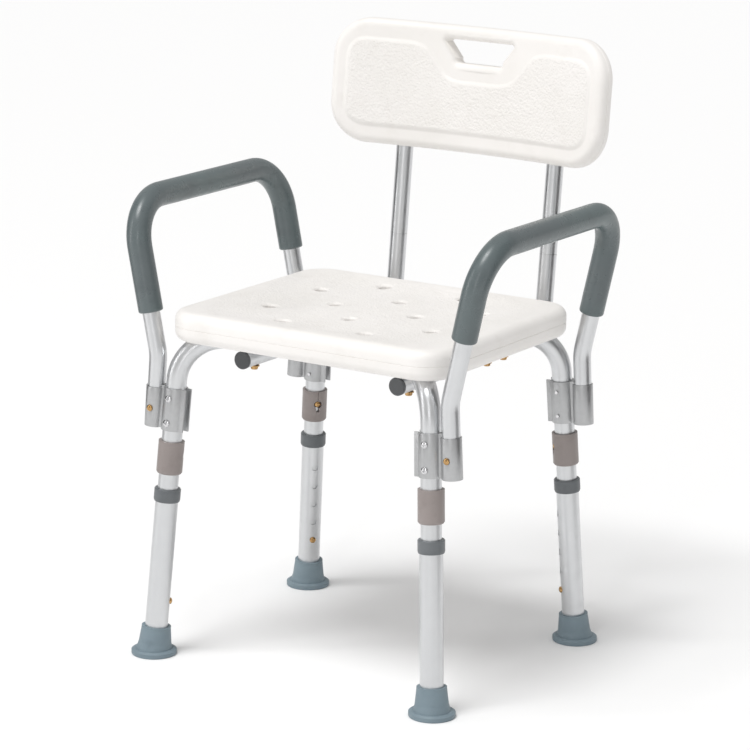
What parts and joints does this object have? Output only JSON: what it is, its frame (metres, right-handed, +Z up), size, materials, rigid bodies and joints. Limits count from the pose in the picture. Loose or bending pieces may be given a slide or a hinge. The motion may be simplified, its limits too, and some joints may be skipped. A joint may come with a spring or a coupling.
{
  "type": "shower chair",
  "caption": "Shower chair with moulded seat and backrest, two padded arms and four height-adjustable legs on rubber feet; the arms and back lift off.",
  "frame": {"origin": "on the floor, at the middle of the chair's bounding box", "axes": "+Z up, -Y towards the front of the seat, +X to the right seen from the front"},
  "size_m": [0.5334, 0.4833, 0.7639],
  "materials": {
    "white_plastic": "matt moulded polyethylene with a fine pebble grain",
    "tube_aluminium": "satin anodised aluminium tube",
    "bracket_aluminium": "bead-blasted extruded aluminium",
    "screw_chrome": "bright plated steel",
    "button_brass": "bright brass",
    "collar_plastic": "matt taupe plastic",
    "ring_plastic": "matt grey plastic",
    "foot_rubber": "matt slate-blue rubber",
    "grip_rubber": "smooth grey-green soft plastic",
    "cap_plastic": "matt charcoal plastic",
    "plain_steel": "plain steel"
  },
  "bodies": {
    "frame": {"seat": "white_plastic", "frame_tube_a": "tube_aluminium", "frame_tube_b": "tube_aluminium", "cross_bolt": "plain_steel", "seat_bolts": "button_brass", "rail_bolts": "button_brass", "rail_left": "tube_aluminium", "rail_right": "tube_aluminium", "rail_cap_left": "cap_plastic", "rail_cap_right": "cap_plastic", "bracket_fr": "bracket_aluminium", "bracket_fl": "bracket_aluminium", "bracket_rl": "bracket_aluminium", "bracket_rr": "bracket_aluminium", "bracket_screws": "screw_chrome", "collar_fr": "collar_plastic", "collar_fl": "collar_plastic", "collar_rl": "collar_plastic", "collar_rr": "collar_plastic", "middle_leg_fr": "tube_aluminium", "middle_leg_fl": "tube_aluminium", "middle_leg_rl": "tube_aluminium", "middle_leg_rr": "tube_aluminium", "leg_springs": "plain_steel"},
    "leg_fr": {"lower_leg_fr": "tube_aluminium", "guide_ring_fr": "ring_plastic", "foot_fr": "foot_rubber"},
    "leg_fl": {"lower_leg_fl": "tube_aluminium", "guide_ring_fl": "ring_plastic", "foot_fl": "foot_rubber"},
    "leg_rl": {"lower_leg_rl": "tube_aluminium", "guide_ring_rl": "ring_plastic", "foot_rl": "foot_rubber"},
    "leg_rr": {"lower_leg_rr": "tube_aluminium", "guide_ring_rr": "ring_plastic", "foot_rr": "foot_rubber"},
    "arm_right": {"arm_tube_right": "tube_aluminium", "arm_grip_right": "grip_rubber", "arm_springs_right": "plain_steel"},
    "arm_left": {"arm_tube_left": "tube_aluminium", "arm_grip_left": "grip_rubber", "arm_springs_left": "plain_steel"},
    "backrest": {"backrest_shell": "white_plastic", "backrest_tube_left": "tube_aluminium", "backrest_tube_right": "tube_aluminium", "backrest_screws": "screw_chrome"},
    "lock_press_fr": {"lock_button_fr": "button_brass"},
    "lock_press_fl": {"lock_button_fl": "button_brass"},
    "lock_press_rl": {"lock_button_rl": "button_brass"},
    "lock_press_rr": {"lock_button_rr": "button_brass"},
    "height_press_fr": {"height_button_fr": "button_brass"},
    "height_press_fl": {"height_button_fl": "button_brass"},
    "height_press_rl": {"height_button_rl": "button_brass"},
    "height_press_rr": {"height_button_rr": "button_brass"},
    "arm_press_fr": {"arm_button_fr": "button_brass"},
    "arm_press_fl": {"arm_button_fl": "button_brass"},
    "arm_press_rl": {"arm_button_rl": "button_brass"},
    "arm_press_rr": {"arm_button_rr": "button_brass"}
  },
  "joints": [
    {"name": "leg_height_fr", "type": "slide", "parent": "frame", "child": "leg_fr", "axis": [0.0588, -0.0506, -0.997], "range_m": [0, 0.1016], "deforming": ["height_button_fr"]},
    {"name": "leg_height_fl", "type": "slide", "parent": "frame", "child": "leg_fl", "axis": [-0.0588, -0.0506, -0.997], "range_m": [0, 0.1016], "deforming": ["height_button_fl"]},
    {"name": "leg_height_rl", "type": "slide", "parent": "frame", "child": "leg_rl", "axis": [-0.0588, 0.0506, -0.997], "range_m": [0, 0.1016], "deforming": ["height_button_rl"]},
    {"name": "leg_height_rr", "type": "slide", "parent": "frame", "child": "leg_rr", "axis": [0.0588, 0.0506, -0.997], "range_m": [0, 0.1016], "deforming": ["height_button_rr"]},
    {"name": "arm_lift_right", "type": "slide", "parent": "frame", "child": "arm_right", "axis": [-0.0619, 0, 0.9981], "range_m": [0, 0.06], "deforming": ["arm_button_fr", "arm_button_rr", "arm_springs_right"]},
    {"name": "arm_lift_left", "type": "slide", "parent": "frame", "child": "arm_left", "axis": [0.0619, 0, 0.9981], "range_m": [0, 0.06], "deforming": ["arm_button_fl", "arm_button_rl", "arm_springs_left"]},
    {"name": "backrest_lift", "type": "slide", "parent": "frame", "child": "backrest", "axis": [0, 0.0976, 0.9952], "range_m": [0, 0.04]},
    {"name": "lock_button_fr", "type": "slide", "parent": "frame", "child": "lock_press_fr", "axis": [0.7558, -0.6501, 0.0776], "range_m": [0, 0.0043], "stiffness_N_per_m": 2500, "springref_m": -0.002, "deforming": ["leg_springs"]},
    {"name": "lock_button_fl", "type": "slide", "parent": "frame", "child": "lock_press_fl", "axis": [-0.7558, -0.6501, 0.0776], "range_m": [0, 0.0043], "stiffness_N_per_m": 2500, "springref_m": -0.002},
    {"name": "lock_button_rl", "type": "slide", "parent": "frame", "child": "lock_press_rl", "axis": [-0.7558, 0.6501, 0.0776], "range_m": [0, 0.0043], "stiffness_N_per_m": 2500, "springref_m": -0.002},
    {"name": "lock_button_rr", "type": "slide", "parent": "frame", "child": "lock_press_rr", "axis": [0.7558, 0.6501, 0.0776], "range_m": [0, 0.0043], "stiffness_N_per_m": 2500, "springref_m": -0.002},
    {"name": "height_button_fr", "type": "slide", "parent": "frame", "child": "height_press_fr", "axis": [0.7558, -0.6501, 0.0776], "range_m": [0, 0.005], "stiffness_N_per_m": 2500, "springref_m": -0.002},
    {"name": "height_button_fl", "type": "slide", "parent": "frame", "child": "height_press_fl", "axis": [-0.7558, -0.6501, 0.0776], "range_m": [0, 0.005], "stiffness_N_per_m": 2500, "springref_m": -0.002},
    {"name": "height_button_rl", "type": "slide", "parent": "frame", "child": "height_press_rl", "axis": [-0.7558, 0.6501, 0.0776], "range_m": [0, 0.005], "stiffness_N_per_m": 2500, "springref_m": -0.002},
    {"name": "height_button_rr", "type": "slide", "parent": "frame", "child": "height_press_rr", "axis": [0.7558, 0.6501, 0.0776], "range_m": [0, 0.005], "stiffness_N_per_m": 2500, "springref_m": -0.002},
    {"name": "arm_button_fr", "type": "slide", "parent": "arm_right", "child": "arm_press_fr", "axis": [0, 1, 0], "range_m": [0, 0.004], "stiffness_N_per_m": 2500, "springref_m": -0.002},
    {"name": "arm_button_fl", "type": "slide", "parent": "arm_left", "child": "arm_press_fl", "axis": [0, 1, 0], "range_m": [0, 0.004], "stiffness_N_per_m": 2500, "springref_m": -0.002},
    {"name": "arm_button_rl", "type": "slide", "parent": "arm_left", "child": "arm_press_rl", "axis": [0, -1, 0], "range_m": [0, 0.004], "stiffness_N_per_m": 2500, "springref_m": -0.002},
    {"name": "arm_button_rr", "type": "slide", "parent": "arm_right", "child": "arm_press_rr", "axis": [0, -1, 0], "range_m": [0, 0.004], "stiffness_N_per_m": 2500, "springref_m": -0.002}
  ]
}
